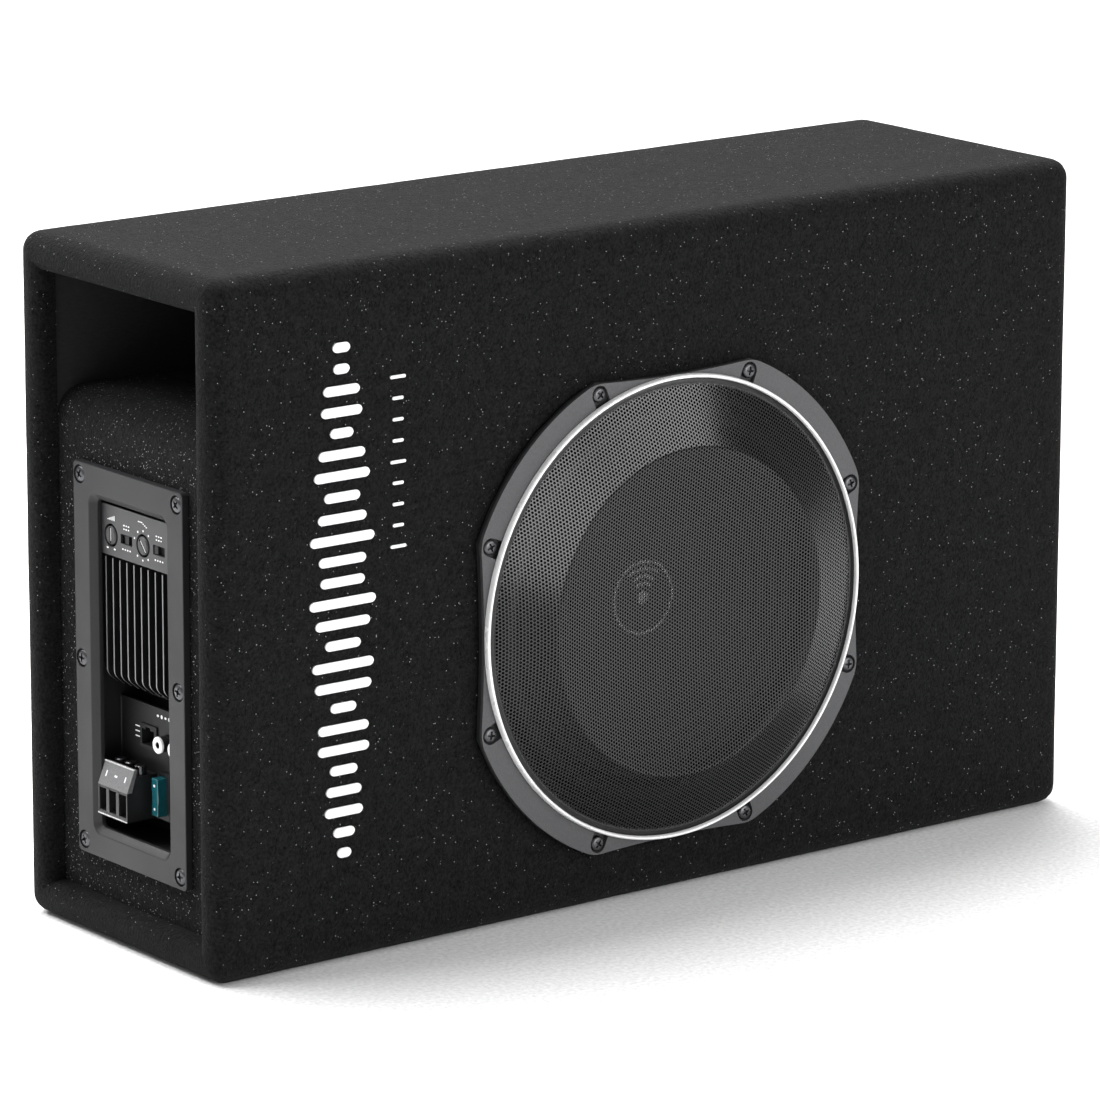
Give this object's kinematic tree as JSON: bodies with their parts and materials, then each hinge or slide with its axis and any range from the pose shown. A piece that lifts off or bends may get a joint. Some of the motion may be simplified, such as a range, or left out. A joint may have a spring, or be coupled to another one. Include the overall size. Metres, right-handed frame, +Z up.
{
  "type": "powered car subwoofer",
  "caption": "Carpeted, slot-ported car subwoofer box with a shallow driver behind a perforated grille and an amplifier panel in its end.",
  "frame": {"origin": "on the floor plane under the middle of the overall box, which includes the grille that stands out of the front", "axes": "+X to the right along the box, with the amplifier panel and the port mouth at the -X end; -Y out of the front face, where the driver is; +Z up"},
  "size_m": [0.546, 0.1882, 0.348],
  "materials": {
    "carpet": "short non-woven pile, black with pale flecks",
    "board": "black stained fibreboard",
    "trim": "fine-grained satin",
    "panel": "satin grey coat",
    "panel_plastic": "satin grey",
    "black_plastic": "satin",
    "mesh": "perforated sheet, dark coat",
    "bright_ring": "polished",
    "steel_black": "black coat",
    "screw_steel": "black zinc",
    "plated_steel": "zinc plated",
    "ferrite": "ground ferrite",
    "cone_paper": "coated pulp",
    "cap_plastic": "semi-gloss",
    "surround_rubber": "soft",
    "gasket_foam": "closed foam",
    "spider_cloth": "impregnated woven cloth",
    "coil_copper": "enamelled copper on a former",
    "heatsink_metal": "black anodised",
    "board_mask": "black solder mask",
    "fuse_blue": "clear tinted"
  },
  "bodies": {
    "enclosure": {"amp_baffle": "board", "amp_bezel": "panel", "amp_housing": "black_plastic", "amp_screw_1": "screw_steel", "amp_screw_2": "screw_steel", "amp_screw_3": "screw_steel", "amp_screw_4": "screw_steel", "amp_screw_5": "screw_steel", "amp_screw_6": "screw_steel", "back_plate": "plated_steel", "basket": "steel_black", "bottom_panel": "board", "carpet_bottom": "carpet", "carpet_end": "carpet", "carpet_recess": "carpet", "carpet_wrap": "carpet", "circuit_board": "board_mask", "connector_plate": "steel_black", "control_plate": "panel", "driver_screw_1": "screw_steel", "driver_screw_2": "screw_steel", "driver_screw_3": "screw_steel", "driver_screw_4": "screw_steel", "driver_screw_5": "screw_steel", "driver_screw_6": "screw_steel", "driver_screw_7": "screw_steel", "driver_screw_8": "screw_steel", "driver_terminals": "black_plastic", "front_baffle": "board", "fuse_holder": "panel_plastic", "grille_mesh": "mesh", "grille_ring": "bright_ring", "heatsink": "heatsink_metal", "level_jack": "black_plastic", "magnet": "ferrite", "mounting_gasket": "gasket_foam", "port_floor": "board", "port_return": "board", "power_header": "black_plastic", "rca_jacks": "black_plastic", "rear_panel": "board", "right_end_panel": "board", "spider": "spider_cloth", "surround": "surround_rubber", "top_panel": "board", "top_plate": "plated_steel", "trim_ring": "trim"},
    "moving_assembly": {"cone": "cone_paper", "dust_cap": "cap_plastic", "voice_coil": "coil_copper"},
    "gain_control": {"gain_knob": "panel_plastic"},
    "filter_control": {"filter_knob": "panel_plastic"},
    "mode_selector": {"mode_switch": "black_plastic"},
    "polarity_selector": {"polarity_switch": "black_plastic"},
    "plug": {"power_plug": "black_plastic"},
    "fuse": {"fuse": "fuse_blue"},
    "clamp_screw_1": {"terminal_screw_1": "plated_steel"},
    "clamp_screw_2": {"terminal_screw_2": "plated_steel"},
    "clamp_screw_3": {"terminal_screw_3": "plated_steel"}
  },
  "joints": [
    {"name": "cone_travel", "type": "slide", "parent": "enclosure", "child": "moving_assembly", "axis": [0, -1, 0], "range_m": [-0.009, 0.009], "stiffness_N_per_m": 1500, "deforming": ["surround", "spider"]},
    {"name": "gain_turn", "type": "hinge", "parent": "enclosure", "child": "gain_control", "pos_m": [-0.2595, 0.0328, 0.2035], "axis": [-1, 0, 0], "range_deg": [-150, 150]},
    {"name": "filter_turn", "type": "hinge", "parent": "enclosure", "child": "filter_control", "pos_m": [-0.2595, 0.005, 0.2035], "axis": [-1, 0, 0], "range_deg": [-110, 190]},
    {"name": "mode_slide", "type": "slide", "parent": "enclosure", "child": "mode_selector", "axis": [0, 1, 0], "range_m": [-0.0028, 0.0028]},
    {"name": "polarity_slide", "type": "slide", "parent": "enclosure", "child": "polarity_selector", "axis": [0, 1, 0], "range_m": [-0.0056, 0]},
    {"name": "plug_out", "type": "slide", "parent": "enclosure", "child": "plug", "axis": [-1, 0, 0], "range_m": [0, 0.016]},
    {"name": "fuse_out", "type": "slide", "parent": "enclosure", "child": "fuse", "axis": [-1, 0, 0], "range_m": [0, 0.02]},
    {"name": "clamp_screw_1_turn", "type": "hinge", "parent": "plug", "child": "clamp_screw_1", "pos_m": [-0.2535, 0.0189, 0.0845], "axis": [0, 0, 1], "continuous": true},
    {"name": "clamp_screw_2_turn", "type": "hinge", "parent": "plug", "child": "clamp_screw_2", "pos_m": [-0.2535, 0.0275, 0.0845], "axis": [0, 0, 1], "continuous": true},
    {"name": "clamp_screw_3_turn", "type": "hinge", "parent": "plug", "child": "clamp_screw_3", "pos_m": [-0.2535, 0.0361, 0.0845], "axis": [0, 0, 1], "continuous": true}
  ]
}
